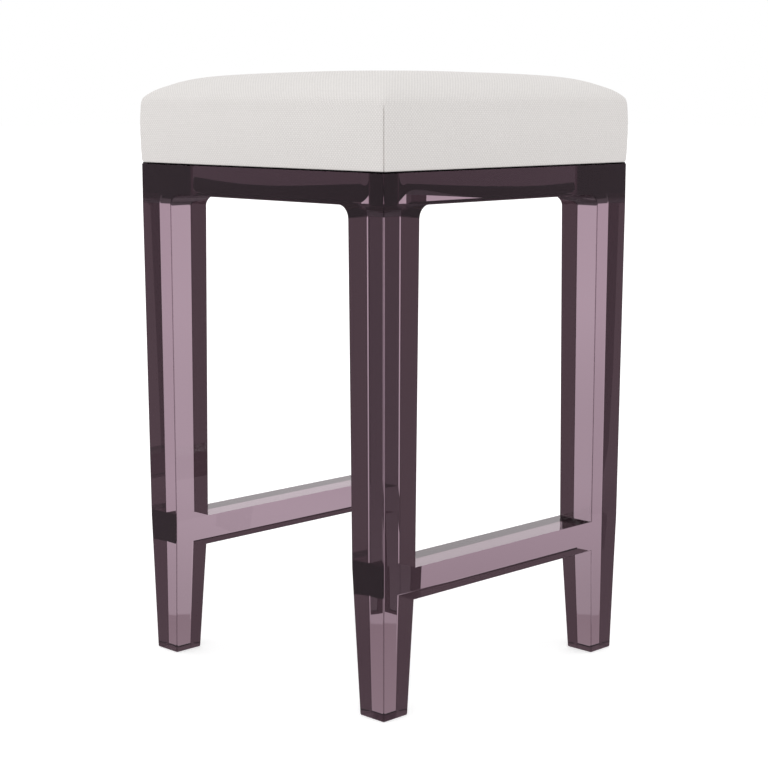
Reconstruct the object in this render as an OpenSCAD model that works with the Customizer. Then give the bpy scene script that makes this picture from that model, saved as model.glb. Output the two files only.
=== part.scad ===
// Square counter stool: a solid tinted acrylic frame under a tight, domed, fabric covered seat.
// Millimetres. The origin is on the floor under the middle of the seat, and +Z is up.
// The open front faces -Y. The two stretchers run front to back, one on each side.

/* [Frame] */
// Outside width and depth of the square frame
frame_w = 381; // [340:1:460]
// Height of the frame from the floor to the top of its apron
frame_h = 555.5; // [420:0.5:720]
// Height of the four apron rails
apron_h = 32.5; // [24:0.5:44]
// Radius under each apron rail where it meets a leg
haunch_r = 14; // [6:0.5:24]
// Radius of the upright inside corners of the apron
ring_r = 9.5; // [4:0.5:14]

/* [Legs] */
// Width of a leg under the apron, and of the apron rails
leg_w = 50.8; // [40:0.2:60]
// How much narrower a leg is at the top of the stretchers
knee_slim = 4.2; // [0:0.1:8]
// How much narrower a leg is at the floor
foot_slim = 15.9; // [8:0.1:20]
// How far the outer faces are drawn in at the top of the stretchers
knee_in = 2; // [0:0.1:4]
// How far the outer faces are drawn in at the floor
foot_in = 5.5; // [4:0.1:10]

/* [Stretchers] */
// Height of a stretcher's underside above the floor
stretcher_z = 121.4; // [60:0.2:220]
// Height of a stretcher's section
stretcher_h = 34; // [20:0.5:50]

/* [Seat board] */
// Thickness of the felt strip between the frame and the seat
felt_t = 1.5; // [0.8:0.1:2.5]
// Width of the felt strip
felt_w = 28; // [12:1:34]
// How far the felt strip is set in from the frame's outer faces
felt_in = 1; // [0.5:0.1:6]
// Thickness of the seat board
board_t = 15; // [9:0.5:22]

/* [Cushion] */
// How far the foam block reaches above the cushion's upright sides
foam_rise = 10.5; // [0:0.5:12]
// How far the foam block is set in from the edge of the seat board
foam_in = 12; // [6:0.5:24]
// Thickness of the cover fabric
fabric_t = 1.6; // [0.8:0.1:2.4]
// Height of the cushion's upright sides
side_h = 65.2; // [56:0.2:90]
// How far the cushion's lower edge stands out past the frame
cover_over = 0.9; // [0.3:0.1:3]
// How far the sides swell out at half their height
side_swell = 1.6; // [0:0.1:6]
// How much further the middle of each side swells than its corners
side_bow = 1.4; // [0:0.1:4]
// Rise of the rounded shoulder over the sides
shoulder_h = 19.4; // [10:0.1:30]
// Run of the rounded shoulder
shoulder_w = 45; // [24:1:60]
// Rise of the crown over the shoulder
crown_h = 14.3; // [6:0.1:30]
// How flat the middle of the crown is: a higher power is flatter
crown_power = 3; // [2:0.1:4]
// Radius of the cushion's upright corners
corner_r = 4; // [4:0.5:16]
// How soon the corners round off towards the middle of the top: a smaller length is sooner
round_off = 128; // [80:1:300]
// Depth of the sewn seam down each corner
seam_depth = 1; // [0.2:0.1:1.5]
// Width of the cover's hem, turned under the seat board
hem_w = 46; // [40:1:48]

/* [Dust cover] */
// Thickness of the dust cover
dust_t = 0.8; // [0.5:0.1:1.2]
// How far the dust cover lies above the underside of the apron
dust_up = 1.2; // [0.8:0.1:6]
// How far it is tucked up in the front left corner
tuck_left = 17.5; // [0:0.5:20]
// How far it is tucked up in the back right corner
tuck_back = 12.5; // [0:0.5:20]
// How far the left and the back tuck run on along the left and the back rail
tuck_run = 70; // [30:1:90]
// How far the tucks run on along the other rails
tuck_short_run = 5; // [4:0.5:30]
// How far its edge has come up the right rail, near the front right leg
lift_h = 19.5; // [0:0.5:24]
// How soon that lift starts, away from the front rail
lift_start = 12; // [8:1:30]
// How far the lift runs on along the right rail
lift_run = 130; // [60:1:200]
// How far the lift reaches in from the right rail
lift_reach = 150; // [60:1:200]

/* [Fasteners] */
// Staples along each edge of the cover's hem
staples_per_side = 6; // [2:1:9]
// Length of a staple's crown
staple_w = 10; // [6:0.5:12]
// Thickness of the staple wire
staple_t = 0.6; // [0.4:0.1:0.7]

/* [Hidden] */

// Colours
acrylic = [0.46, 0.36, 0.42];
off_white = [0.87, 0.86, 0.84];
birch = [0.78, 0.66, 0.48];
foam_yellow = [0.93, 0.87, 0.66];
fibre_white = [0.95, 0.95, 0.93];
cambric_black = [0.08, 0.08, 0.08];
zinc = [0.72, 0.73, 0.75];

// Gap between a soft piece and a curved neighbour
soft_gap = 0.3;
// Cuts run this far past a face
over = 1;

// Levels from the floor up
half = frame_w / 2;
apron_z = frame_h - apron_h;
haunch_z = apron_z - haunch_r;
knee_z = stretcher_z + stretcher_h;
seat_z = frame_h + felt_t;
board_z = seat_z + fabric_t;
foam_z = board_z + board_t;
foam_top_z = seat_z + side_h + foam_rise;

// Half widths of what lies inside the seat
cover_half = half + cover_over;
board_half = cover_half - fabric_t - soft_gap;
foam_half = board_half - foam_in;
dust_half = half - leg_w - soft_gap;

// Where a leg's outer and inner faces are, measured in from the frame's outer faces:
// [height, outer face, inner face] from the floor to the top of the apron
leg_line = [
    [0, foot_in, foot_in + leg_w - foot_slim],
    [knee_z, knee_in, knee_in + leg_w - knee_slim],
    [haunch_z, 0, leg_w],
    [frame_h, 0, leg_w],
];
function outer_in(z) = lookup(z, [for (p = leg_line) [p[0], p[1]]]);
function inner_in(z) = lookup(z, [for (p = leg_line) [p[0], p[2]]]);

// Frame

// Front or side view of the leg at the positive corner
module leg_side() {
    outer = [for (p = leg_line) [half - p[1], p[0]]];
    inner = [for (i = [len(leg_line) - 1:-1:0]) [half - leg_line[i][2], leg_line[i][0]]];
    polygon(concat(outer, inner));
}

// Upright slab with the shape of its 2D child in front view, right through the frame
module slab_x_view() {
    rotate([90, 0, 0]) linear_extrude(height = frame_w, center = true) children();
}

// The same, with the shape in side view
module slab_y_view() {
    rotate([90, 0, 90]) linear_extrude(height = frame_w, center = true) children();
}

module leg(side_x, side_y) {
    color(acrylic) mirror([side_x < 0 ? 1 : 0, 0, 0]) mirror([0, side_y < 0 ? 1 : 0, 0])
        intersection() {
            slab_x_view() leg_side();
            slab_y_view() leg_side();
        }
}

// Front view of the rail along X between two legs, with a haunch down each leg
module rail_shape() {
    reach = half - leg_w;
    difference() {
        translate([-reach, haunch_z]) square([2 * reach, apron_h + haunch_r]);
        translate([-reach + haunch_r, haunch_z - over]) square([2 * (reach - haunch_r), haunch_r + over]);
        for (side = [-1, 1])
            translate([side * (reach - haunch_r), haunch_z]) circle(r = haunch_r, $fn = 64);
    }
}

// Plan of the same rail
module rail_plan() {
    reach = half - leg_w;
    translate([-reach, -half]) square([2 * reach, leg_w]);
}

// Plan of a rail's mitred share of what fills the inside corners at its two ends
module corner_plan(size) {
    reach = half - leg_w;
    for (side = [0, 1]) mirror([side, 0])
        polygon([[reach - size, -reach], [reach, -reach], [reach - size, -reach + size]]);
}

// The same, rounded for the inside of the apron
module round_corner_plan() {
    reach = half - leg_w;
    difference() {
        corner_plan(ring_r);
        for (side = [-1, 1])
            translate([side * (reach - ring_r), -reach + ring_r]) circle(r = ring_r, $fn = 64);
    }
}

// The haunches of neighbouring rails run on into each other round the inside corner
module rail(turn) {
    color(acrylic) rotate([0, 0, turn]) intersection() {
        rotate([90, 0, 0]) linear_extrude(height = frame_w, center = true) rail_shape();
        union() {
            linear_extrude(height = frame_h + over) rail_plan();
            linear_extrude(height = apron_z) corner_plan(haunch_r);
            translate([0, 0, apron_z]) linear_extrude(height = apron_h + over) round_corner_plan();
        }
    }
}

// Stretcher along Y between two legs, flush with their faces all round
module stretcher(side) {
    low = stretcher_z;
    high = knee_z;
    section = [
        [half - outer_in(low), low], [half - outer_in(high), high],
        [half - inner_in(high), high], [half - inner_in(low), low],
    ];
    length_view = [
        [-half + inner_in(low), low], [half - inner_in(low), low],
        [half - inner_in(high), high], [-half + inner_in(high), high],
    ];
    color(acrylic) mirror([side < 0 ? 1 : 0, 0, 0])
        intersection() {
            slab_x_view() polygon(section);
            slab_y_view() polygon(length_view);
        }
}

// Lofted soft forms

arc_steps = 6;
mid_steps = 3;
sheet_mid_steps = 9;

// A quarter of a rounded square's outline: one corner's arc, with the sewn groove at its middle,
// and then points along the bowed side
function quarter(h, r, bow, groove, mids) = concat(
    [for (k = [0:arc_steps])
        let (a = 90 * k / arc_steps, rr = k == arc_steps / 2 ? r - groove : r)
        [h - r + rr * cos(a), h - r + rr * sin(a)]],
    [for (m = [1:mids])
        let (share = 1 - 2 * m / (mids + 1))
        [(h - r) * share, h + bow * (1 - share * share)]]
);
function turned(p, a) = [p[0] * cos(a) - p[1] * sin(a), p[0] * sin(a) + p[1] * cos(a)];
function outline(h, r, bow, groove, mids = mid_steps) =
    [for (a = [0, 90, 180, 270]) for (p = quarter(h, r, bow, groove, mids)) turned(p, a)];
function ring(z, h, r, bow = 0, groove = 0) =
    [for (p = outline(h, r, bow, groove)) [p[0], p[1], z]];

// Closed solid through a list of rings, each with the same number of points. The first ring is
// closed by the point first and the last by the point last
module loft(rings, first, last) {
    n = len(rings[0]);
    rows = len(rings);
    points = concat([first], [for (r = rings) for (p = r) p], [last]);
    end = len(points) - 1;
    cap_a = [for (i = [0:n - 1]) [0, 1 + (i + 1) % n, 1 + i]];
    cap_b = [for (i = [0:n - 1]) [end, end - n + i, end - n + (i + 1) % n]];
    walls = [for (j = [0:rows - 2]) for (i = [0:n - 1])
        let (a = 1 + j * n + i, b = 1 + j * n + (i + 1) % n)
        each [[a, b, a + n], [b, b + n, a + n]]];
    polyhedron(points = points, faces = concat(cap_a, walls, cap_b));
}

// The cushion's skin, shrunk inwards by inset all over. Heights start at the seat's underside
side_shares = [0, 0.12, 0.35, 0.62, 0.86, 1];
shoulder_shares = [0.03, 0.12, 0.3, 0.6, 1];
crown_shares = [0.42, 0.62, 0.84];

function swell(share) = side_swell * sin(180 * min(1, 0.9 * share));
function skin_side(share, inset) =
    ring(seat_z + side_h * share, cover_half + swell(share) - inset, corner_r - inset * 0.5,
        side_bow * sin(180 * share * 0.9), seam_depth);
function shoulder_rise(run) = shoulder_h * sqrt(1 - pow(1 - min(1, run / shoulder_w), 2));
function crown_rise(run) = crown_h * (1 - pow(1 - run / cover_half, crown_power));
function skin_top(run, inset) =
    let (h = cover_half + swell(1) - run,
        r = min(h * 0.98, corner_r + run * run / round_off),
        groove = seam_depth * max(0, 1 - 1.5 * run / shoulder_w))
    ring(seat_z + side_h + shoulder_rise(run) + crown_rise(run) - inset,
        h - inset, r - inset * 0.5, side_bow * 0.3, groove);
function top_runs() = concat(
    [for (s = shoulder_shares) s * shoulder_w],
    [for (s = crown_shares) s * cover_half]);
function skin_peak(inset) = [0, 0, seat_z + side_h + shoulder_h + crown_h - inset];

// Rings from the peak down to the bottom of the sides
function skin_down(inset, low_share = 0) = concat(
    [for (i = [len(top_runs()) - 1:-1:0]) skin_top(top_runs()[i], inset)],
    [for (i = [len(side_shares) - 1:-1:0])
        if (side_shares[i] >= low_share) skin_side(side_shares[i], inset)]);
function reversed(list) = [for (i = [len(list) - 1:-1:0]) list[i]];

module seat_cover() {
    hem_half = cover_half - hem_w;
    outer = skin_down(0);
    inner = reversed(skin_down(fabric_t, 0.1));
    hem = [
        ring(seat_z, hem_half, corner_r),
        ring(board_z, hem_half, corner_r),
        ring(board_z, cover_half - fabric_t, corner_r - fabric_t),
    ];
    color(off_white) loft(concat(outer, hem, inner), skin_peak(0), skin_peak(fabric_t));
}

// Fibre wadding between the foam and the cover
module wadding() {
    inset = fabric_t + soft_gap;
    low_share = (board_t + fabric_t) / side_h;
    outer = skin_down(inset, low_share);
    cavity_half = foam_half + soft_gap;
    top_z = foam_top_z + soft_gap;
    foot = [
        ring(foam_z, board_half - soft_gap, corner_r - fabric_t),
        ring(foam_z, cavity_half, corner_r),
        ring(top_z, cavity_half, corner_r),
    ];
    color(fibre_white) loft(concat(outer, foot), skin_peak(inset), [0, 0, top_z]);
}

// Square with round corners, from true circles
module round_square(h, r) {
    square([2 * h, 2 * (h - r)], center = true);
    square([2 * (h - r), 2 * h], center = true);
    for (x = [-1, 1]) for (y = [-1, 1])
        translate([x * (h - r), y * (h - r)]) circle(r = r, $fn = 48);
}

module foam_core() {
    color(foam_yellow) translate([0, 0, foam_z]) linear_extrude(height = foam_top_z - foam_z)
        round_square(foam_half, corner_r);
}

// Black cambric that closes the apron from below. It is tucked up in two corners, and one edge has
// come up a little
sheet_shares = [1, 0.98, 0.95, 0.9, 0.76, 0.54, 0.28];
function tuck(x, y, side_x, side_y, h, run_x, run_y) =
    h * exp(-(dust_half - side_x * x) / run_x - (dust_half - side_y * y) / run_y);
function lift(from_right, from_front) =
    lift_h * (1 - exp(-from_front / lift_start)) * pow(max(0, 1 - from_front / lift_run), 1.5)
    * exp(-from_right / lift_reach);
function dust_rise(x, y) =
    tuck(x, y, -1, -1, tuck_left, tuck_short_run, tuck_run)
    + tuck(x, y, 1, 1, tuck_back, tuck_run, tuck_short_run)
    + lift(dust_half - x, dust_half + y);
function dust_ring(share, lift) =
    [for (p = outline(dust_half * share, (ring_r - soft_gap) * share, 0, 0, sheet_mid_steps))
        [p[0], p[1], apron_z + dust_up + lift + dust_rise(p[0], p[1])]];
module dust_cover() {
    top = [for (i = [len(sheet_shares) - 1:-1:0]) dust_ring(sheet_shares[i], dust_t)];
    under = [for (s = sheet_shares) dust_ring(s, 0)];
    middle_z = apron_z + dust_up + dust_rise(0, 0);
    color(cambric_black) loft(concat(top, under), [0, 0, middle_z + dust_t], [0, 0, middle_z]);
}

// Seat board

module seat_board() {
    color(birch) translate([0, 0, board_z]) linear_extrude(height = board_t)
        round_square(board_half, corner_r);
}

// Felt strip on top of the apron
module seat_felt() {
    felt_half = half - felt_in;
    color(cambric_black) translate([0, 0, frame_h]) linear_extrude(height = felt_t) difference() {
        square(2 * felt_half, center = true);
        square(2 * (felt_half - felt_w), center = true);
    }
}

// Rows of staples in the hem, along the four edges. They are pressed flat, so that only their
// crowns show under the fabric
module hem_staples() {
    row = (half - felt_in - felt_w + cover_half - hem_w) / 2;
    color(zinc) for (a = [0, 90, 180, 270]) rotate([0, 0, a])
        for (i = [1:staples_per_side])
            let (along = 2 * row * (i / (staples_per_side + 1) - 0.5))
                translate([row - staple_t / 2, along - staple_w / 2, seat_z - staple_t])
                    cube([staple_t, staple_w, staple_t]);
}

leg(-1, -1);  // front_left_leg
leg(1, -1);  // front_right_leg
leg(-1, 1);  // back_left_leg
leg(1, 1);  // back_right_leg
rail(0);  // front_rail
rail(90);  // right_rail
rail(180);  // back_rail
rail(270);  // left_rail
stretcher(-1);  // left_stretcher
stretcher(1);  // right_stretcher
seat_felt();
seat_board();
foam_core();
wadding();
seat_cover();
dust_cover();
hem_staples();
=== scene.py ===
import math
import bmesh
import bpy
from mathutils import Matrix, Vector


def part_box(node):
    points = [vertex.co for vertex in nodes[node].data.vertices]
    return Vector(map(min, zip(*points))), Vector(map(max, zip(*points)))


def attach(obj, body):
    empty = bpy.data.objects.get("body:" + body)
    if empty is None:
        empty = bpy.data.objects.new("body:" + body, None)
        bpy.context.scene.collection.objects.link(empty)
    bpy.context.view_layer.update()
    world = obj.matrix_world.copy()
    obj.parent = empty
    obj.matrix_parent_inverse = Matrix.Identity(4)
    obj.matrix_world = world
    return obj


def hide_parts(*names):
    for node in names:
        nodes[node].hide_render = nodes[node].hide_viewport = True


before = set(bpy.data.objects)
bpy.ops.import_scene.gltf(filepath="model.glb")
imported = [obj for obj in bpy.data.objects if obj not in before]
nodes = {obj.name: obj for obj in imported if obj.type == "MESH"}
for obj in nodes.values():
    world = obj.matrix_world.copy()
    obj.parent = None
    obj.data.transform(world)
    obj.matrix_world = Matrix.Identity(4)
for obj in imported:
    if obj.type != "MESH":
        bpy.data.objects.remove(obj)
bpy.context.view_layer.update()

# Sizes in metres, as in the CAD. The acrylic frame, with the legs' widths at the top, knee and foot,
# and how far in their outer faces stand at the knee and the foot
half = 0.1905
frame_h = 0.5555
apron_h = 0.0325
haunch_r = 0.014
ring_r = 0.0095
leg_w = 0.0508
knee_w = 0.0466
foot_w = 0.0349
knee_in = 0.002
foot_in = 0.0055
stretcher_z = 0.1214
knee_z = 0.1554
apron_z = frame_h - apron_h
haunch_z = apron_z - haunch_r

# The seat: felt, upright sides, rounded shoulder and crown
felt_t = 0.0015
felt_w = 0.028
fabric_t = 0.0016
seat_z = frame_h + felt_t
cover_over = 0.0009
cover_half = half + cover_over
side_h = 0.0652
side_swell = 0.0016
side_bow = 0.0014
shoulder_h = 0.0194
shoulder_w = 0.045
crown_h = 0.0143
crown_power = 3.0
corner_r = 0.004
round_off = 0.128
hem_w = 0.046

# The dust cover: its two tucks, at the front left and the back right corner, and its lifted edge
dust_gap = 0.0003
dust_half = half - leg_w - dust_gap
dust_up = 0.0012
tuck_left = 0.0175
tuck_back = 0.0125
tuck_run = 0.070
tuck_short_run = 0.005
lift_h = 0.0195
lift_start = 0.012
lift_run = 0.130
lift_reach = 0.150


# Node tree helpers

def new_material(name):
    """An empty node material and its output node"""
    mat = bpy.data.materials.new(name)
    mat.use_nodes = True
    tree = mat.node_tree
    tree.nodes.clear()
    out = tree.nodes.new("ShaderNodeOutputMaterial")
    return mat, tree, out


def put(tree, value, socket):
    """Links a socket to another, or writes a plain value into it"""
    if isinstance(value, bpy.types.NodeSocket):
        tree.links.new(value, socket)
    else:
        socket.default_value = value


def maths(tree, op, *args):
    """Result of a Math node"""
    node = tree.nodes.new("ShaderNodeMath")
    node.operation = op
    for i, value in enumerate(args):
        put(tree, value, node.inputs[i])
    return node.outputs[0]


def mix_number(tree, factor, a, b):
    node = tree.nodes.new("ShaderNodeMix")
    node.data_type = "FLOAT"
    put(tree, factor, node.inputs[0])
    put(tree, a, node.inputs[2])
    put(tree, b, node.inputs[3])
    return node.outputs[0]


def mix_colour(tree, factor, a, b):
    node = tree.nodes.new("ShaderNodeMix")
    node.data_type = "RGBA"
    put(tree, factor, node.inputs[0])
    for value, socket in ((a, node.inputs[6]), (b, node.inputs[7])):
        if not isinstance(value, bpy.types.NodeSocket):
            value = (*value, 1.0)
        put(tree, value, socket)
    return node.outputs[2]


def mix_shader(tree, factor, a, b):
    node = tree.nodes.new("ShaderNodeMixShader")
    put(tree, factor, node.inputs[0])
    tree.links.new(a, node.inputs[1])
    tree.links.new(b, node.inputs[2])
    return node.outputs[0]


def noise(tree, vector, scale, detail=2.0, rough=0.5):
    node = tree.nodes.new("ShaderNodeTexNoise")
    tree.links.new(vector, node.inputs["Vector"])
    node.inputs["Scale"].default_value = scale
    node.inputs["Detail"].default_value = detail
    node.inputs["Roughness"].default_value = rough
    return node.outputs["Fac"]


def centred(tree, value, width):
    """Takes a value from 0 to 1 to a band of this width about nought"""
    return maths(tree, "MULTIPLY_ADD", value, width, -width / 2)


def stretched(tree, vector, scale):
    """Coordinates scaled by axis, so that a noise on them is long where the scale is low"""
    node = tree.nodes.new("ShaderNodeMapping")
    tree.links.new(vector, node.inputs["Vector"])
    node.inputs["Scale"].default_value = scale
    return node.outputs["Vector"]


def coordinates(tree, kind="Object"):
    return tree.nodes.new("ShaderNodeTexCoord").outputs[kind]


def parts_of(tree, vector):
    """The x, y and z of a vector"""
    node = tree.nodes.new("ShaderNodeSeparateXYZ")
    tree.links.new(vector, node.inputs[0])
    return node.outputs


def bump(tree, height, depth, strength=1.0, normal=None):
    node = tree.nodes.new("ShaderNodeBump")
    tree.links.new(height, node.inputs["Height"])
    node.inputs["Distance"].default_value = depth
    node.inputs["Strength"].default_value = strength
    if normal is not None:
        tree.links.new(normal, node.inputs["Normal"])
    return node.outputs["Normal"]


def principled(tree, out):
    node = tree.nodes.new("ShaderNodeBsdfPrincipled")
    tree.links.new(node.outputs[0], out.inputs["Surface"])
    return node


def plain_shader(tree, kind, level):
    """An Emission or Diffuse shader of one grey level"""
    node = tree.nodes.new(kind)
    node.inputs["Color"].default_value = (level, level, level, 1.0)
    return node


# Materials

def make_acrylic():
    """Solid acrylic, tinted a smoky plum. The tint deepens with the length of the light's path"""
    mat, tree, out = new_material("tinted_acrylic")
    shader = principled(tree, out)
    shader.inputs["Base Color"].default_value = (1.0, 1.0, 1.0, 1.0)
    shader.inputs["Roughness"].default_value = 0.0
    shader.inputs["IOR"].default_value = 1.49
    shader.inputs["Transmission Weight"].default_value = 1.0
    # What passes straight through 57.7 mm of it, by colour
    passed = (0.459, 0.338, 0.401)
    path = 0.0577
    loss = [-math.log(t) / path for t in passed]
    # A little over the strongest loss, so that every colour of the tint stays over nought
    headroom = 1.02
    density = max(loss) * headroom
    tint = tree.nodes.new("ShaderNodeVolumeAbsorption")
    tint.inputs["Density"].default_value = density
    tint.inputs["Color"].default_value = (*[1.0 - k / density for k in loss], 1.0)
    tree.links.new(tint.outputs[0], out.inputs["Volume"])
    return mat


def make_cover_fabric():
    """Off-white plain weave of thick yarns, with painted light and shade on its relief. The cloth map is
    in metres along the warp and the weft
    """
    mat, tree, out = new_material("off_white_weave")
    shader = principled(tree, out)
    cloth = coordinates(tree, "UV")
    u, v, _ = parts_of(tree, cloth)
    pitch = 0.0020
    # Painted shade for the hollows between the yarns, and painted light for their tops
    shaded_hollow_colour = (0.52, 0.505, 0.49)
    lit_top_colour = (0.80, 0.775, 0.755)
    # Yarns swell and thin a little along their length, about this many times in a metre
    slubs = 22.0
    warp_slub = noise(tree, stretched(tree, cloth, (1 / pitch, slubs, 1.0)), 1.0, 2.0)
    weft_slub = noise(tree, stretched(tree, cloth, (slubs, 1 / pitch, 1.0)), 1.0, 2.0)
    across = maths(tree, "DIVIDE", u, pitch)
    along = maths(tree, "DIVIDE", v, pitch)
    warp = maths(tree, "SINE", maths(tree, "MULTIPLY", across, math.pi))
    weft = maths(tree, "SINE", maths(tree, "MULTIPLY", along, math.pi))
    # Over one and under one: each yarn rises in the middle of its float, the warp higher than the weft
    warp_share = 0.3
    crown_share = 0.4
    wave = maths(tree, "MULTIPLY", warp, weft)
    warp_up = maths(tree, "GREATER_THAN", wave, 0.0)
    crown = maths(tree, "ABSOLUTE", wave)
    yarn = maths(tree, "MULTIPLY_ADD", wave, warp_share, warp_share)
    yarn = maths(tree, "MULTIPLY_ADD", crown, crown_share, yarn)
    slub = mix_number(tree, warp_up, weft_slub, warp_slub)
    # Fine plies twist round each yarn
    twist = 5.0 * math.pi
    slant_across = maths(tree, "MULTIPLY", maths(tree, "ADD", across, along), twist)
    slant_along = maths(tree, "MULTIPLY", maths(tree, "SUBTRACT", across, along), twist)
    ply_across = maths(tree, "SINE", slant_across)
    ply_along = maths(tree, "SINE", slant_along)
    ply = mix_number(tree, warp_up, ply_along, ply_across)
    # Painted light and shade of the weave's relief: the yarns' tops are lighter than the hollows between
    # them, with faint plies painted the same way, and slubs and patches in the yarn's own tone
    hollow_shade = 0.27
    yarn_band = 0.95
    ply_band = 0.02
    slub_band = 0.24
    patch_band = 0.08
    patch = noise(tree, cloth, 14.0, 3.0)
    shade = maths(tree, "MULTIPLY_ADD", yarn, yarn_band, hollow_shade)
    shade = maths(tree, "ADD", shade, maths(tree, "MULTIPLY", ply, ply_band))
    shade = maths(tree, "ADD", shade, centred(tree, slub, slub_band))
    shade = maths(tree, "ADD", shade, centred(tree, patch, patch_band))
    tree.links.new(mix_colour(tree, shade, shaded_hollow_colour, lit_top_colour), shader.inputs["Base Color"])
    shader.inputs["Roughness"].default_value = 0.88
    shader.inputs["Sheen Weight"].default_value = 0.08
    shader.inputs["Sheen Roughness"].default_value = 0.5
    shader.inputs["Specular IOR Level"].default_value = 0.2
    # The relief: yarns, the fuzz of their fibres, and the plies
    relief = 0.0003
    fuzz_share = 0.25
    ply_share = 0.06
    fuzz = noise(tree, cloth, 2600.0, 2.0)
    height = maths(tree, "ADD", yarn, maths(tree, "MULTIPLY", fuzz, fuzz_share))
    height = maths(tree, "ADD", height, maths(tree, "MULTIPLY", ply, ply_share))
    tree.links.new(bump(tree, height, relief, 0.6), shader.inputs["Normal"])
    return mat


def make_black_cloth(name, yarn_pitch, base):
    """Thin black cloth: crossed fibres with a painted highlight on their tops"""
    mat, tree, out = new_material(name)
    shader = principled(tree, out)
    place = coordinates(tree)
    fine = 1 / yarn_pitch
    lengthways = 40.0
    upwards = 60.0
    fibre_highlight = 2.1
    long_x = noise(tree, stretched(tree, place, (lengthways, fine, upwards)), 1.0, 2.0)
    long_y = noise(tree, stretched(tree, place, (fine, lengthways, upwards)), 1.0, 2.0)
    fibres = maths(tree, "MAXIMUM", long_x, long_y)
    # The lit colour is a painted highlight on the raised fibres' tops
    lit = tuple(c * fibre_highlight for c in base)
    tree.links.new(mix_colour(tree, fibres, base, lit), shader.inputs["Base Color"])
    shader.inputs["Roughness"].default_value = 0.92
    shader.inputs["Specular IOR Level"].default_value = 0.1
    tree.links.new(bump(tree, fibres, 0.00015, 0.5), shader.inputs["Normal"])
    return mat


def make_plywood():
    """Birch plywood: long grain on the faces, plies on the edges"""
    mat, tree, out = new_material("birch_plywood")
    shader = principled(tree, out)
    place = coordinates(tree)
    z = parts_of(tree, place)[2]
    grain = noise(tree, stretched(tree, place, (6.0, 260.0, 30.0)), 1.0, 5.0, 0.6)
    drift = noise(tree, stretched(tree, place, (3.0, 26.0, 10.0)), 1.0, 2.0)
    face = mix_colour(tree, grain, (0.62, 0.44, 0.27), (0.80, 0.64, 0.44))
    face = mix_colour(tree, maths(tree, "MULTIPLY", drift, 0.5), face, (0.70, 0.50, 0.30))
    # Every other ply is turned across
    ply_t = 0.0014
    layer = maths(tree, "FLOOR", maths(tree, "DIVIDE", z, ply_t))
    ply = maths(tree, "FLOORED_MODULO", layer, 2.0)
    edge = mix_colour(tree, ply, (0.45, 0.29, 0.16), (0.72, 0.55, 0.36))
    # The grain shows where the surface lies nearly level
    nearly_level = 0.7
    normal = tree.nodes.new("ShaderNodeNewGeometry").outputs["Normal"]
    up = maths(tree, "ABSOLUTE", parts_of(tree, normal)[2])
    colour = mix_colour(tree, maths(tree, "GREATER_THAN", up, nearly_level), edge, face)
    tree.links.new(colour, shader.inputs["Base Color"])
    shader.inputs["Roughness"].default_value = 0.72
    tree.links.new(bump(tree, grain, 0.00012, 0.5), shader.inputs["Normal"])
    return mat


def make_zinc():
    """Zinc plated steel, slightly streaked"""
    mat, tree, out = new_material("zinc_plate")
    shader = principled(tree, out)
    place = coordinates(tree)
    streak = noise(tree, stretched(tree, place, (900.0, 900.0, 120.0)), 1.0, 3.0)
    colour = mix_colour(tree, streak, (0.55, 0.57, 0.60), (0.80, 0.80, 0.79))
    tree.links.new(colour, shader.inputs["Base Color"])
    smoothest = 0.25
    dulled = 0.25
    rough = maths(tree, "MULTIPLY_ADD", streak, dulled, smoothest)
    tree.links.new(rough, shader.inputs["Roughness"])
    shader.inputs["Metallic"].default_value = 1.0
    tree.links.new(bump(tree, streak, 0.00003, 0.4), shader.inputs["Normal"])
    return mat


acrylic = make_acrylic()
cover_fabric = make_cover_fabric()
black_felt = make_black_cloth("black_felt", 0.0004, (0.003, 0.002, 0.0025))
black_cambric = make_black_cloth("black_cambric", 0.0006, (0.050, 0.046, 0.050))
plywood = make_plywood()
zinc = make_zinc()


# Mesh helpers

def object_from(name, points, faces):
    mesh = bpy.data.meshes.new(name)
    mesh.from_pydata([tuple(p) for p in points], [], faces)
    mesh.validate()
    obj = bpy.data.objects.new(name, mesh)
    bpy.context.scene.collection.objects.link(obj)
    return obj


def prism(name, rings):
    """Closed solid through rings of corner points"""
    n = len(rings[0])
    points = [p for ring in rings for p in ring]
    faces = [list(reversed(range(n))), [len(points) - n + i for i in range(n)]]
    for k in range(len(rings) - 1):
        for i in range(n):
            j = (i + 1) % n
            faces.append([k * n + i, k * n + j, (k + 1) * n + j, (k + 1) * n + i])
    obj = object_from(name, points, faces)
    work = bmesh.new()
    work.from_mesh(obj.data)
    bmesh.ops.recalc_face_normals(work, faces=work.faces)
    work.to_mesh(obj.data)
    work.free()
    return obj


def applied(obj):
    """Bakes the object's modifiers into its mesh"""
    graph = bpy.context.evaluated_depsgraph_get()
    mesh = bpy.data.meshes.new_from_object(obj.evaluated_get(graph))
    obj.modifiers.clear()
    obj.data = mesh
    return obj


def combined(base, other, operation):
    """Boolean of two solids, left in the first"""
    step = base.modifiers.new("join", "BOOLEAN")
    step.operation = operation
    step.object = other
    step.solver = "EXACT"
    applied(base)
    bpy.data.objects.remove(other)
    return base


def turned(x, y, turns):
    """A place turned about the middle by quarter turns"""
    for _ in range(turns):
        x, y = -y, x
    return x, y


def side_of(a, b):
    """The side of a square that a point lies towards, in quarter turns, and its place along that side"""
    if abs(a) >= abs(b):
        return (0, b) if a > 0 else (2, -b)
    return (1, -a) if b > 0 else (3, a)


def shade_smooth(obj):
    for face in obj.data.polygons:
        face.use_smooth = True


def set_material(obj, mat):
    obj.data.materials.clear()
    obj.data.materials.append(mat)


# Acrylic frame: one clear piece, because its blocks are bonded without a trace

# Height, and how far in from the frame's side the leg's outer and inner face stand there
leg_line = [
    (0.0, foot_in, foot_in + foot_w),
    (knee_z, knee_in, knee_in + knee_w),
    (haunch_z, 0.0, leg_w),
    (frame_h, 0.0, leg_w),
]
# The cutting shapes go a little past the frame, so that no faces coincide
past = 0.02
below_floor = -0.05


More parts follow.
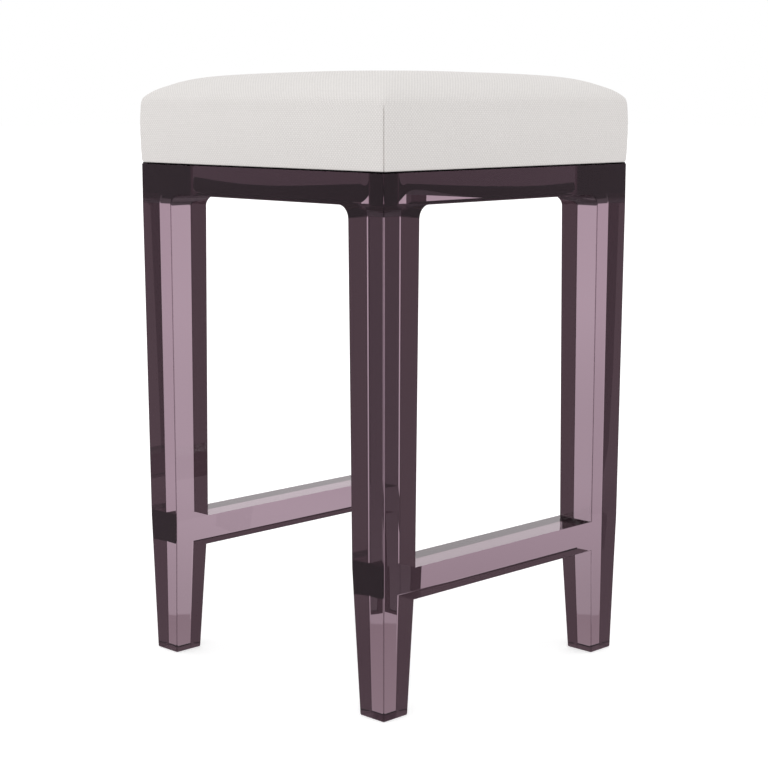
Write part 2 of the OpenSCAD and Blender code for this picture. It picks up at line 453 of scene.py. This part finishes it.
def inner_face_at(z):
    """How far in the leg's inner face stands, from below the floor up to the knee"""
    foot = leg_line[0][2]
    knee = leg_line[1][2]
    return foot + (knee - foot) * z / knee_z


def arc_points(centre, radius, start, end, steps):
    """Points of an arc in a plane, its ends included, with the turns in degrees"""
    points = []
    for k in range(steps + 1):
        turn = math.radians(start + (end - start) * k / steps)
        points.append((centre[0] + radius * math.cos(turn), centre[1] + radius * math.sin(turn)))
    return points


def opening_under_apron(floor_z):
    """The opening between two legs, from floor_z up to the apron with its two haunches, in front view"""
    steps = 18
    reach = half - leg_w
    centre = (reach - haunch_r, haunch_z)
    right = [(half - inner_face_at(floor_z), floor_z)]
    if floor_z < knee_z:
        right.append((half - inner_face_at(knee_z), knee_z))
    right += arc_points(centre, haunch_r, 0, 90, steps)
    return right + [(-p, z) for p, z in reversed(right)]


def opening_under_stretcher():
    """The opening between two legs below a stretcher, in side view"""
    low = half - inner_face_at(below_floor)
    high = half - inner_face_at(stretcher_z)
    return [(low, below_floor), (high, stretcher_z), (-high, stretcher_z), (-low, below_floor)]


def inside_of_apron():
    """Plan of the space inside the apron"""
    steps = 14
    centre = half - leg_w - ring_r
    quarter = arc_points((centre, centre), ring_r, 0, 90, steps)
    return [turned(x, y, turns) for turns in range(4) for x, y in quarter]


def frame_block():
    """The frame's outside, with nothing cut out"""
    rings = []
    for z, outer, _ in leg_line:
        h = half - outer
        rings.append([(-h, -h, z), (h, -h, z), (h, h, z), (-h, h, z)])
    return prism("acrylic_frame", rings)


def frame_openings():
    """Solids to cut out of the frame's block, one after the other"""
    ends = (-half - past, half + past)
    front = opening_under_apron(below_floor)
    yield prism("front_to_back", [[(p, t, z) for p, z in front] for t in ends])
    window = opening_under_apron(knee_z)
    yield prism("window", [[(t, p, z) for p, z in window] for t in ends])
    under = opening_under_stretcher()
    yield prism("under", [[(t, p, z) for p, z in under] for t in ends])
    # Below the apron the haunches run on into each other round the inside corners
    inside = inside_of_apron()
    overlap = 0.0001
    levels = (apron_z - overlap, frame_h + past)
    yield prism("inside", [[(x, y, z) for x, y in inside] for z in levels])


def is_top_rim(edge):
    """Whether the edge is one of the frame's top edges, which the seat strip sits on"""
    tolerance = 1e-5
    return all(vert.co.z > frame_h - tolerance for vert in edge.verts)


def is_sharp(edge):
    """Whether two faces meet there in a convex edge, at a clear angle"""
    sharp = math.radians(30)
    return len(edge.link_faces) == 2 and edge.is_convex and edge.calc_face_angle() > sharp


def polished_normals(mesh):
    """Big faces shade flat, and the narrow ones between them run smoothly from one to the next"""
    narrow = 0.003
    blend_cos = math.cos(math.radians(50))
    around = [[] for _ in mesh.vertices]
    for face in mesh.polygons:
        for v in face.vertices:
            around[v].append(face)
    longest = []
    for face in mesh.polygons:
        spots = [mesh.vertices[v].co for v in face.vertices]
        longest.append(max((a - b).length for a, b in zip(spots, spots[1:] + spots[:1])))
    normals = [None] * len(mesh.loops)
    for face in mesh.polygons:
        own = face.normal
        for loop, v in zip(face.loop_indices, face.vertices):
            total = Vector()
            if face.area / longest[face.index] < narrow:
                for other in around[v]:
                    if other.normal.dot(own) > blend_cos:
                        total += other.normal * other.area
            normals[loop] = total.normalized() if total.length > 0 else own.copy()
    mesh.normals_split_custom_set(normals)


def make_frame():
    """The frame's block with its openings cut out and its edges eased"""
    obj = frame_block()
    for opening in frame_openings():
        combined(obj, opening, "DIFFERENCE")
    work = bmesh.new()
    work.from_mesh(obj.data)
    bmesh.ops.remove_doubles(work, verts=work.verts, dist=2e-6)
    flat = math.radians(0.1)
    bmesh.ops.dissolve_limit(work, angle_limit=flat, verts=work.verts, edges=work.edges)
    weights = work.edges.layers.float.new("bevel_weight_edge")
    for edge in work.edges:
        if is_sharp(edge) and not is_top_rim(edge):
            edge[weights] = 1.0
    work.to_mesh(obj.data)
    work.free()
    # Polished edges are eased by a millimetre and a half
    ease = obj.modifiers.new("eased", "BEVEL")
    ease.width = 0.0015
    ease.segments = 3
    ease.limit_method = "WEIGHT"
    ease.use_clamp_overlap = False
    ease.harden_normals = False
    ease.miter_outer = "MITER_ARC"
    applied(obj)
    shade_smooth(obj)
    polished_normals(obj.data)
    set_material(obj, acrylic)
    return obj


acrylic_frame = make_frame()
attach(acrylic_frame, "root")
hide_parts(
    "front_left_leg", "front_right_leg", "back_left_leg", "back_right_leg",
    "front_rail", "back_rail", "left_rail", "right_rail",
    "left_stretcher", "right_stretcher",
)


# Seat cushion

# The sides swell out along an arch that ends before it has come all the way back in
arch_turn = 162
top_half = cover_half + side_swell * math.sin(math.radians(arch_turn))
# Each ring of the top has a corner radius of at most this share of its half width
roundest = 0.98
top_bow = side_bow * 0.3
# Distances in from a corner seam at which the mesh has a line, and columns between the last of them
seam_lines = (0.0, 0.0009, 0.0022, 0.0045, 0.009, 0.0155)
columns = 30


def column_shares():
    """Places across a side, from -1 to 1, closer together beside the corner seams"""
    edge = [1.0 - d / top_half for d in seam_lines]
    inner = edge[-1]
    middle = [-inner + 2 * inner * k / columns for k in range(1, columns)]
    return [-e for e in edge] + middle + list(reversed(edge))


def on_ring(c_len, h, r, bow):
    """Point of a rounded square's right side: c_len is the distance along it from its middle"""
    flat = h - r
    size = abs(c_len)
    if size <= flat:
        return h + bow * (1.0 - (size / flat) ** 2), c_len
    turn = min(1.0, (size - flat) / r) * math.pi / 4
    return flat + r * math.cos(turn), math.copysign(flat + r * math.sin(turn), c_len)


def shoulder_rise(run):
    return shoulder_h * math.sqrt(max(0.0, 1.0 - (1.0 - min(1.0, run / shoulder_w)) ** 2))


def crown_rise(run):
    return crown_h * (1.0 - max(0.0, 1.0 - run / cover_half) ** crown_power)


def cloth_lengths():
    """Length of the cloth along the domed profile, from the middle out to each of many shares"""
    steps = 400
    lengths = [0.0]
    for k in range(1, steps + 1):
        outer = top_half * (1.0 - k / steps)
        inner = top_half * (1.0 - (k - 1) / steps)
        drop = shoulder_rise(inner) + crown_rise(inner) - shoulder_rise(outer) - crown_rise(outer)
        lengths.append(lengths[-1] + math.hypot(top_half / steps, drop))
    return lengths


profile_lengths = cloth_lengths()


def on_cloth(a, b):
    """Place on the flat cloth of the top's point for shares a and b"""
    ring = max(abs(a), abs(b))
    if ring < 1e-9:
        return 0.0, 0.0
    place = ring * (len(profile_lengths) - 1)
    low = min(int(place), len(profile_lengths) - 2)
    length = profile_lengths[low] + (profile_lengths[low + 1] - profile_lengths[low]) * (place - low)
    return a / ring * length, b / ring * length


def top_point(a, b, inset):
    """Point of the cushion's top for shares a and b, each from -1 to 1"""
    ring = max(abs(a), abs(b))
    if ring < 1e-9:
        return Vector((0.0, 0.0, seat_z + side_h + shoulder_h + crown_h - inset))
    run = top_half * (1.0 - ring)
    h = top_half * ring
    r = min(h * roundest, corner_r + run * run / round_off)
    z = seat_z + side_h + shoulder_rise(run) + crown_rise(run) - inset
    side, c = side_of(a, b)
    drawn_in = h - inset * min(1.0, ring * 1.2)
    x, y = on_ring(c * top_half * drawn_in / h, drawn_in, r * drawn_in / h, top_bow)
    x, y = turned(x, y, side)
    return Vector((x, y, z))


def side_point(side, share, c, inset):
    """Point of an upright side, share of its height up and c across"""
    arch = math.sin(math.radians(arch_turn * share))
    h = cover_half + side_swell * arch - inset
    x, y = on_ring(c * h, h, corner_r - inset * 0.5, side_bow * arch)
    x, y = turned(x, y, side)
    return Vector((x, y, seat_z + side_h * share))


# Rolled lower edge and hem: height over the seat's underside, and distance in from the side
hem_rows = [
    (0.0022, 0.0001), (0.0012, 0.0004), (0.0005, 0.0009), (0.0001, 0.0018), (0.0, 0.0035),
    (0.0, 0.016), (0.0, 0.031), (0.0, hem_w), (fabric_t, hem_w), (fabric_t, 0.030),
    (fabric_t, 0.0022), (0.0032, 0.0019), (0.0166, 0.0019), (0.0168, 0.030), (0.0168, 0.09),
]


def build_cushion(inset):
    """Points, faces and cloth map of the whole cushion, which is closed round the seat board"""
    shares = column_shares()
    n = len(shares)
    points = []
    index = {}

    def add(key, point):
        if key not in index:
            index[key] = len(points)
            points.append(point)
        return index[key]

    def perimeter_key(side, j, row):
        """The corner columns are shared by two sides"""
        if j == n - 1:
            return ("side", (side + 1) % 4, 0, row)
        return ("side", side, j, row)

    for i in range(n):
        for j in range(n):
            add(("top", i, j), top_point(shares[i], shares[j], inset))
    # A row is a share of the side's height or, further down, a row of the rolled edge and the hem
    side_rows = 13
    rolled = 0.0035
    heights = [1.0 - k / side_rows for k in range(1, side_rows)]
    heights = [h for h in heights if h * side_h > rolled]
    rows = [(h, None) for h in heights] + [(None, row) for row in hem_rows]

    def row_point(side, c, row):
        share, hem = row
        if hem is None:
            # The inset fades out over the lowest third of the side
            eased = inset * min(1.0, share * 3.0)
            return side_point(side, share, c, eased)
        z, back = hem
        h = cover_half - back
        x, y = on_ring(c * h, h, corner_r, 0.0)
        x, y = turned(x, y, side)
        return Vector((x, y, seat_z + z))

    def top_edge(side, j):
        """The point of the top that a column of a side starts from"""
        last = n - 1
        spots = ((last, j), (last - j, last), (0, last - j), (j, 0))
        return index[("top", *spots[side])]

    def row_edge(side, j, row):
        """The point of a column in a row, or in the top's edge before the first row"""
        if row < 0:
            return top_edge(side, j)
        return index[perimeter_key(side, j, row)]

    faces = []
    maps = []
    for i in range(n - 1):
        for j in range(n - 1):
            corners = ((i, j), (i + 1, j), (i + 1, j + 1), (i, j + 1))
            faces.append([index[("top", a, b)] for a, b in corners])
            maps.append([on_cloth(shares[a], shares[b]) for a, b in corners])
    for side in range(4):
        for k, row in enumerate(rows):
            for j in range(n):
                add(perimeter_key(side, j, k), row_point(side, shares[j], row))
    # Distance down the cloth, for the cloth map
    cloth_half = profile_lengths[-1]
    down = [cloth_half]
    last = side_point(0, 1.0, 0.0, 0.0)
    for row in rows:
        here = row_point(0, 0.0, row)
        down.append(down[-1] + (here - last).length)
        last = here
    for side in range(4):
        for k in range(len(rows)):
            for j in range(n - 1):
                corners = ((j, k - 1), (j, k), (j + 1, k), (j + 1, k - 1))
                faces.append([row_edge(side, column, row) for column, row in corners])
                spots = []
                for column, row in corners:
                    spots.append(turned(down[row + 1], shares[column] * cloth_half, side))
                maps.append(spots)
    # The hidden middle, over the seat board
    last_row = len(rows) - 1
    centre = len(points)
    points.append(Vector((0.0, 0.0, seat_z + hem_rows[-1][0])))
    for side in range(4):
        for j in range(n - 1):
            a = index[perimeter_key(side, j, last_row)]
            b = index[perimeter_key(side, j + 1, last_row)]
            faces.append([a, centre, b])
            maps.append([(0.0, 0.0)] * 3)
    return points, faces, maps


def swollen_points(obj):
    """Where the cloth's pressure takes each point of the cushion"""
    frames = 20
    cloth = obj.modifiers.new("cloth", "CLOTH")
    cloth.settings.quality = 6
    cloth.settings.mass = 0.3
    cloth.settings.tension_stiffness = 22
    cloth.settings.compression_stiffness = 22
    cloth.settings.shear_stiffness = 8
    cloth.settings.bending_stiffness = 0.6
    cloth.settings.vertex_group_mass = "held"
    cloth.settings.use_pressure = True
    cloth.settings.uniform_pressure_force = 4.0
    cloth.settings.effector_weights.gravity = 0.0
    cloth.collision_settings.use_collision = False
    cloth.point_cache.frame_start = 1
    cloth.point_cache.frame_end = frames
    for step in range(1, frames + 1):
        bpy.context.scene.frame_set(step)
    graph = bpy.context.evaluated_depsgraph_get()
    swollen = bpy.data.meshes.new_from_object(obj.evaluated_get(graph))
    moved = [v.co.copy() for v in swollen.vertices]
    obj.modifiers.clear()
    bpy.data.meshes.remove(swollen)
    bpy.context.scene.frame_set(1)
    return moved


def is_held(p):
    """Whether a point stays where it is: the board holds the lower edge and the hem, and the corner
    seams are stitched"""
    lower_edge = seat_z + 0.010
    board_half = 0.12
    over_board = seat_z + 0.03
    seam_w = 0.0008
    seam_end = seat_z + side_h + 0.001
    low = p.z < lower_edge
    deep = abs(p.x) < board_half and abs(p.y) < board_half and p.z < over_board
    seam = abs(abs(p.x) - abs(p.y)) < seam_w and p.z < seam_end
    return low or deep or seam


def is_hidden(p):
    """Whether a point belongs to the hem, or to what lies over the seat board"""
    over_board = seat_z + 0.018
    side_zone = cover_half - 0.001
    return p.z < over_board and max(abs(p.x), abs(p.y)) < side_zone


def make_cushion():
    # The pad swells, so the cloth starts a little smaller, and then takes the seat's measured shape
    start_inset = 0.0022
    cap = 0.0010
    share = 0.25
    points, faces, maps = build_cushion(start_inset)
    full = build_cushion(0.0)[0]
    obj = object_from("seat_cushion", points, faces)
    cloth_map = obj.data.uv_layers.new(name="cloth")
    for face, spots in zip(obj.data.polygons, maps):
        for loop, spot in zip(face.loop_indices, spots):
            cloth_map.data[loop].uv = spot
    held = obj.vertex_groups.new(name="held")
    held.add([i for i, p in enumerate(points) if is_held(p)], 1.0, "REPLACE")
    moved = swollen_points(obj)
    for vert, there, rest in zip(obj.data.vertices, moved, full):
        shift = (there - rest) * share
        if shift.length > cap:
            shift = shift * (cap / shift.length)
        if is_hidden(rest):
            shift = Vector()
        vert.co = rest + shift
    smooth = obj.modifiers.new("smooth", "SUBSURF")
    smooth.levels = 2
    smooth.render_levels = 2
    smooth.boundary_smooth = "PRESERVE_CORNERS"
    applied(obj)
    sew_corners(obj)
    shade_smooth(obj)
    set_material(obj, cover_fabric)
    return obj


def sew_corners(obj):
    """Pulls a narrow groove down each corner, with a faint pucker beside it. Both fade out on the
    shoulder"""
    groove_depth = 0.0018
    groove_width = 0.00055
    pucker_depth = 0.00035
    pucker_width = 0.0022
    # In shares of the side's height
    fade_from = 0.90
    fade_over = 0.16
    # Points under the seat, beside the seam and further in than the shoulder are left alone
    underside = seat_z + 0.0004
    beside_seam = 0.004
    further_in = half - 0.06
    for vert in obj.data.vertices:
        x, y, z = vert.co
        reach = max(abs(x), abs(y))
        off = abs(abs(x) - abs(y)) / math.sqrt(2)
        up = (z - seat_z) / side_h
        fade = 1.0 - max(0.0, min(1.0, (up - fade_from) / fade_over))
        if z < underside or off > beside_seam or reach < further_in or fade <= 0.0:
            continue
        depth = groove_depth * fade * math.exp(-((off / groove_width) ** 2))
        pucker = pucker_depth * fade * math.exp(-((off / pucker_width) ** 2))
        inward = Vector((-math.copysign(1.0, x), -math.copysign(1.0, y), 0.0)).normalized()
        vert.co = vert.co + inward * (depth + pucker)


seat_cushion = make_cushion()
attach(seat_cushion, "root")
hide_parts("seat_cover", "wadding", "foam_core")


# Felt strip between the frame and the seat

def make_felt():
    """A square strip with softened edges, through levels of a height, an outer and an inner side"""
    low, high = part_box("seat_felt")
    outer = high[0]
    inner = outer - felt_w
    ease = 0.0003
    levels = [
        (low[2], outer - ease, inner + ease), (low[2] + ease, outer, inner),
        (high[2] - ease, outer, inner), (high[2], outer - ease, inner + ease),
    ]
    loop = [(z, o) for z, o, _ in levels] + [(z, i) for z, _, i in reversed(levels)]
    signs = ((-1, -1), (1, -1), (1, 1), (-1, 1))
    points = []
    for z, h in loop:
        for a, b in signs:
            points.append((a * h, b * h, z))
    faces = []
    count = len(loop)
    for k in range(count):
        for i in range(4):
            j = (i + 1) % 4
            m = (k + 1) % count
            faces.append([k * 4 + i, k * 4 + j, m * 4 + j, m * 4 + i])
    obj = object_from("felt_strip", points, faces)
    set_material(obj, black_felt)
    return obj


felt_strip = make_felt()
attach(felt_strip, "root")
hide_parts("seat_felt")


# Dust cover: thin cloth that closes the apron from below. It is tucked up in two corners, and one
# edge has come up the right rail a little

def tuck(x, y, side_x, side_y, rise, run_x, run_y):
    """Rise of the sheet towards one corner, which runs out along the two rails"""
    return rise * math.exp(-(dust_half - side_x * x) / run_x - (dust_half - side_y * y) / run_y)


def lift(from_right, from_front):
    """Rise of the edge along the right rail, highest near the front"""
    start = 1.0 - math.exp(-from_front / lift_start)
    fall = max(0.0, 1.0 - from_front / lift_run) ** 1.5
    return lift_h * start * fall * math.exp(-from_right / lift_reach)


def dust_rise(x, y):
    return (
        tuck(x, y, -1, -1, tuck_left, tuck_short_run, tuck_run)
        + tuck(x, y, 1, 1, tuck_back, tuck_run, tuck_short_run)
        + lift(dust_half - x, dust_half + y)
    )


def crowded(share):
    """Spreads the sheet's rows so that they lie closer together towards its edges"""
    crowding = 1.4
    return math.copysign(1.0 - (1.0 - abs(share)) ** crowding, share)


def crease(x, y, ring):
    """Faint pulls that run in from the corners"""
    height = 0.00012
    across = math.sin(260.0 * (x - y))
    along = math.sin(190.0 * (x + y))
    return height * across * along * (1 - ring) * ring


def make_dust_cloth():
    thick = 0.0005
    # The sheet lies a little inside its CAD solid
    reach = dust_half - 0.0001
    corner = ring_r - 0.0004
    base = apron_z + dust_up + 0.00015
    n = 96
    points = []
    for j in range(n + 1):
        for i in range(n + 1):
            a = crowded(-1 + 2 * i / n)
            b = crowded(-1 + 2 * j / n)
            ring = max(abs(a), abs(b))
            if ring < 1e-9:
                x = y = 0.0
            else:
                side, c = side_of(a, b)
                x, y = on_ring(c * reach, ring * reach, ring * corner, 0.0)
                x, y = turned(x, y, side)
            points.append((x, y, base + dust_rise(x, y) + crease(x, y, ring)))
    faces = []
    for j in range(n):
        for i in range(n):
            k = j * (n + 1) + i
            faces.append([k, k + 1, k + n + 2, k + n + 1])
    obj = object_from("dust_cloth", points, faces)
    shell = obj.modifiers.new("thickness", "SOLIDIFY")
    shell.thickness = thick
    shell.offset = 1.0
    applied(obj)
    shade_smooth(obj)
    set_material(obj, black_cambric)
    return obj


dust_cloth = make_dust_cloth()
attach(dust_cloth, "root")
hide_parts("dust_cover")


# The board and the staples keep their CAD shapes

set_material(nodes["seat_board"], plywood)
set_material(nodes["hem_staples"], zinc)


# Floor, light and camera

def climbing(tree, place, low, high, below, above):
    """A colour that changes smoothly as a value climbs from low to high"""
    node = tree.nodes.new("ShaderNodeMapRange")
    node.interpolation_type = "SMOOTHSTEP"
    tree.links.new(place, node.inputs["Value"])
    node.inputs["From Min"].default_value = low
    node.inputs["From Max"].default_value = high
    return mix_colour(tree, node.outputs["Result"], below, above)


white = (1.0, 1.0, 1.0)
# The floor, as it is seen through one block of acrylic: white far off, and nearer the stool a painted
# shadow of it, tinted pink round the feet
far_floor = (0.89, 0.86, 0.88)
back_left_shadow = (0.81, 0.778, 0.80)
back_right_shadow = (0.74, 0.711, 0.73)
middle_left_shadow = (0.58, 0.532, 0.553)
middle_right_shadow = (0.52, 0.477, 0.496)
near_tinted_shadow = (0.41, 0.35, 0.37)
# The studio, as it is seen through more blocks, and reflected inside the acrylic and on it
beyond_two_blocks = (0.20, 0.21, 0.20)
near_reflection = (0.086, 0.061, 0.070)
far_reflection = (0.108, 0.083, 0.090)
outer_reflection = (0.54, 0.40, 0.475)
soft_box = (1.08, 1.0, 1.04)
over_the_sweep = (0.10, 0.10, 0.10)


def what_the_ray_sees(tree, straight_on, reflected, reflected_inside, soft_light):
    """Colour of the white studio for a ray, by how it got there. The camera sees it white, and cloth
    and paper are lit by its soft light. A ray straight through one block of acrylic finds the level
    of its place, and one through more blocks a low one. A ray that was reflected comes from the dimmer
    parts of the studio beside and behind the camera, and finds it dimmest if it was in the acrylic"""
    path = tree.nodes.new("ShaderNodeLightPath").outputs
    # A way in and a way out of a block count as two
    none = 0.5
    one_block = 2.5
    bounced = maths(tree, "GREATER_THAN", path["Glossy Depth"], none)
    more_blocks = maths(tree, "GREATER_THAN", path["Transmission Depth"], one_block)
    entered = maths(tree, "GREATER_THAN", path["Transmission Depth"], none)
    through = mix_colour(tree, more_blocks, straight_on, beyond_two_blocks)
    mirrored = mix_colour(tree, entered, reflected, reflected_inside)
    clear = mix_colour(tree, bounced, through, mirrored)
    lighting = mix_colour(tree, path["Is Diffuse Ray"], clear, soft_light)
    return mix_colour(tree, path["Is Camera Ray"], lighting, white), path


def make_world():
    """The studio round the stool, over the floor"""
    world = bpy.data.worlds.new("studio")
    world.use_nodes = True
    bpy.context.scene.world = world
    tree = world.node_tree
    east, north, up = parts_of(tree, coordinates(tree, "Generated"))
    # The white sweep behind the stool ends at its seat's height, and a soft box hangs over it
    straight_on = climbing(tree, up, 0.0, 0.04, far_floor, over_the_sweep)
    reflected = climbing(tree, up, 0.02, 0.12, outer_reflection, soft_box)
    # The soft light is a little stronger from above, and from the front left
    all_round = 0.89
    from_above = 0.26
    from_front_left = 0.071
    sideways = maths(tree, "MULTIPLY", maths(tree, "ADD", east, north), -from_front_left)
    level = maths(tree, "ADD", sideways, all_round)
    soft_light = maths(tree, "MULTIPLY_ADD", up, from_above, level)
    colour, _ = what_the_ray_sees(tree, straight_on, reflected, far_reflection, soft_light)
    back = tree.nodes["Background"]
    back.inputs["Strength"].default_value = 1.0
    tree.links.new(colour, back.inputs["Color"])


def make_floor():
    """A white floor, which takes a soft shadow, and carries a painted shadow of the stool where acrylic
    shows it
    """
    size = 30.0
    depth = -0.0003
    corners = [(-size, -size, depth), (size, -size, depth), (size, size, depth), (-size, size, depth)]
    floor = object_from("floor", corners, [[0, 1, 2, 3]])
    mat, tree, out = new_material("white_floor")
    # Seen through the acrylic, the floor carries a painted shadow of the stool: it dims towards the
    # stool, more so to its right, and is dimmest, in a pink-tinted painted shadow, from the far edge of
    # the tinted light round the feet to the stool's near side. The places are metres beyond the stool's
    # middle and beside it, seen from over its right front corner
    left_to_right = (-0.25, 0.25)
    back_to_far = (1.0, 4.0)
    middle_to_back = (0.05, 1.0)
    edge_of_tint = (0.168, 0.180)
    near_side = (-1.2, -0.35)
    x, y, _ = parts_of(tree, coordinates(tree))
    beyond = maths(tree, "MULTIPLY", maths(tree, "SUBTRACT", y, x), math.sqrt(0.5))
    beside = maths(tree, "MULTIPLY", maths(tree, "ADD", x, y), math.sqrt(0.5))
    # Painted shadow of the stool, darkest and tinted pink round its feet
    back = climbing(tree, beside, *left_to_right, back_left_shadow, back_right_shadow)
    middle = climbing(tree, beside, *left_to_right, middle_left_shadow, middle_right_shadow)
    level = climbing(tree, beyond, *back_to_far, back, far_floor)
    level = climbing(tree, beyond, *middle_to_back, middle, level)
    level = climbing(tree, beyond, *edge_of_tint, near_tinted_shadow, level)
    level = climbing(tree, beyond, *near_side, far_floor, level)
    squared = maths(tree, "MULTIPLY_ADD", x, x, maths(tree, "MULTIPLY", y, y))
    off_centre = maths(tree, "SQRT", squared)
    inside = climbing(tree, off_centre, 0.35, 1.0, near_reflection, far_reflection)
    colour, path = what_the_ray_sees(tree, level, outer_reflection, inside, white)
    seen = tree.nodes.new("ShaderNodeEmission")
    tree.links.new(colour, seen.inputs["Color"])
    # The camera sees lit paper with a glow over it, so the shadows stay soft and the rest is white.
    # The glow also takes the place of a quarter of the paper's own light
    lit = plain_shader(tree, "ShaderNodeBsdfDiffuse", 0.93)
    glow = plain_shader(tree, "ShaderNodeEmission", 1.0)
    glow.inputs["Strength"].default_value = 0.45
    camera_floor = tree.nodes.new("ShaderNodeAddShader")
    softened = mix_shader(tree, 0.25, lit.outputs[0], glow.outputs[0])
    tree.links.new(softened, camera_floor.inputs[0])
    tree.links.new(glow.outputs[0], camera_floor.inputs[1])
    # The object's cloth is lit by plain paper
    paper = plain_shader(tree, "ShaderNodeBsdfDiffuse", 0.80)
    first = mix_shader(tree, path["Is Diffuse Ray"], seen.outputs[0], paper.outputs[0])
    last = mix_shader(tree, path["Is Camera Ray"], first, camera_floor.outputs[0])
    tree.links.new(last, out.inputs["Surface"])
    set_material(floor, mat)


def make_camera():
    """The camera stands over the right front corner and looks a little down, as in the photo"""
    azimuth = math.radians(45.05)
    pitch = math.radians(8.99)
    distance = 2.0422
    height = 0.6306
    camera = bpy.data.cameras.new("camera")
    holder = bpy.data.objects.new("camera", camera)
    bpy.context.scene.collection.objects.link(holder)
    holder.location = (math.sin(azimuth) * distance, -math.cos(azimuth) * distance, height)
    along = math.cos(pitch)
    look = Vector((-math.sin(azimuth) * along, math.cos(azimuth) * along, -math.sin(pitch)))
    holder.rotation_euler = look.to_track_quat("-Z", "Y").to_euler()
    camera.sensor_width = 36.0
    camera.lens = 85.617
    camera.clip_end = 100.0
    bpy.context.scene.camera = holder


make_world()
make_floor()
make_camera()
scene = bpy.context.scene
scene.view_settings.view_transform = "Standard"
scene.cycles.max_bounces = 24
scene.cycles.glossy_bounces = 16
scene.cycles.transmission_bounces = 24

bpy.context.view_layer.update()
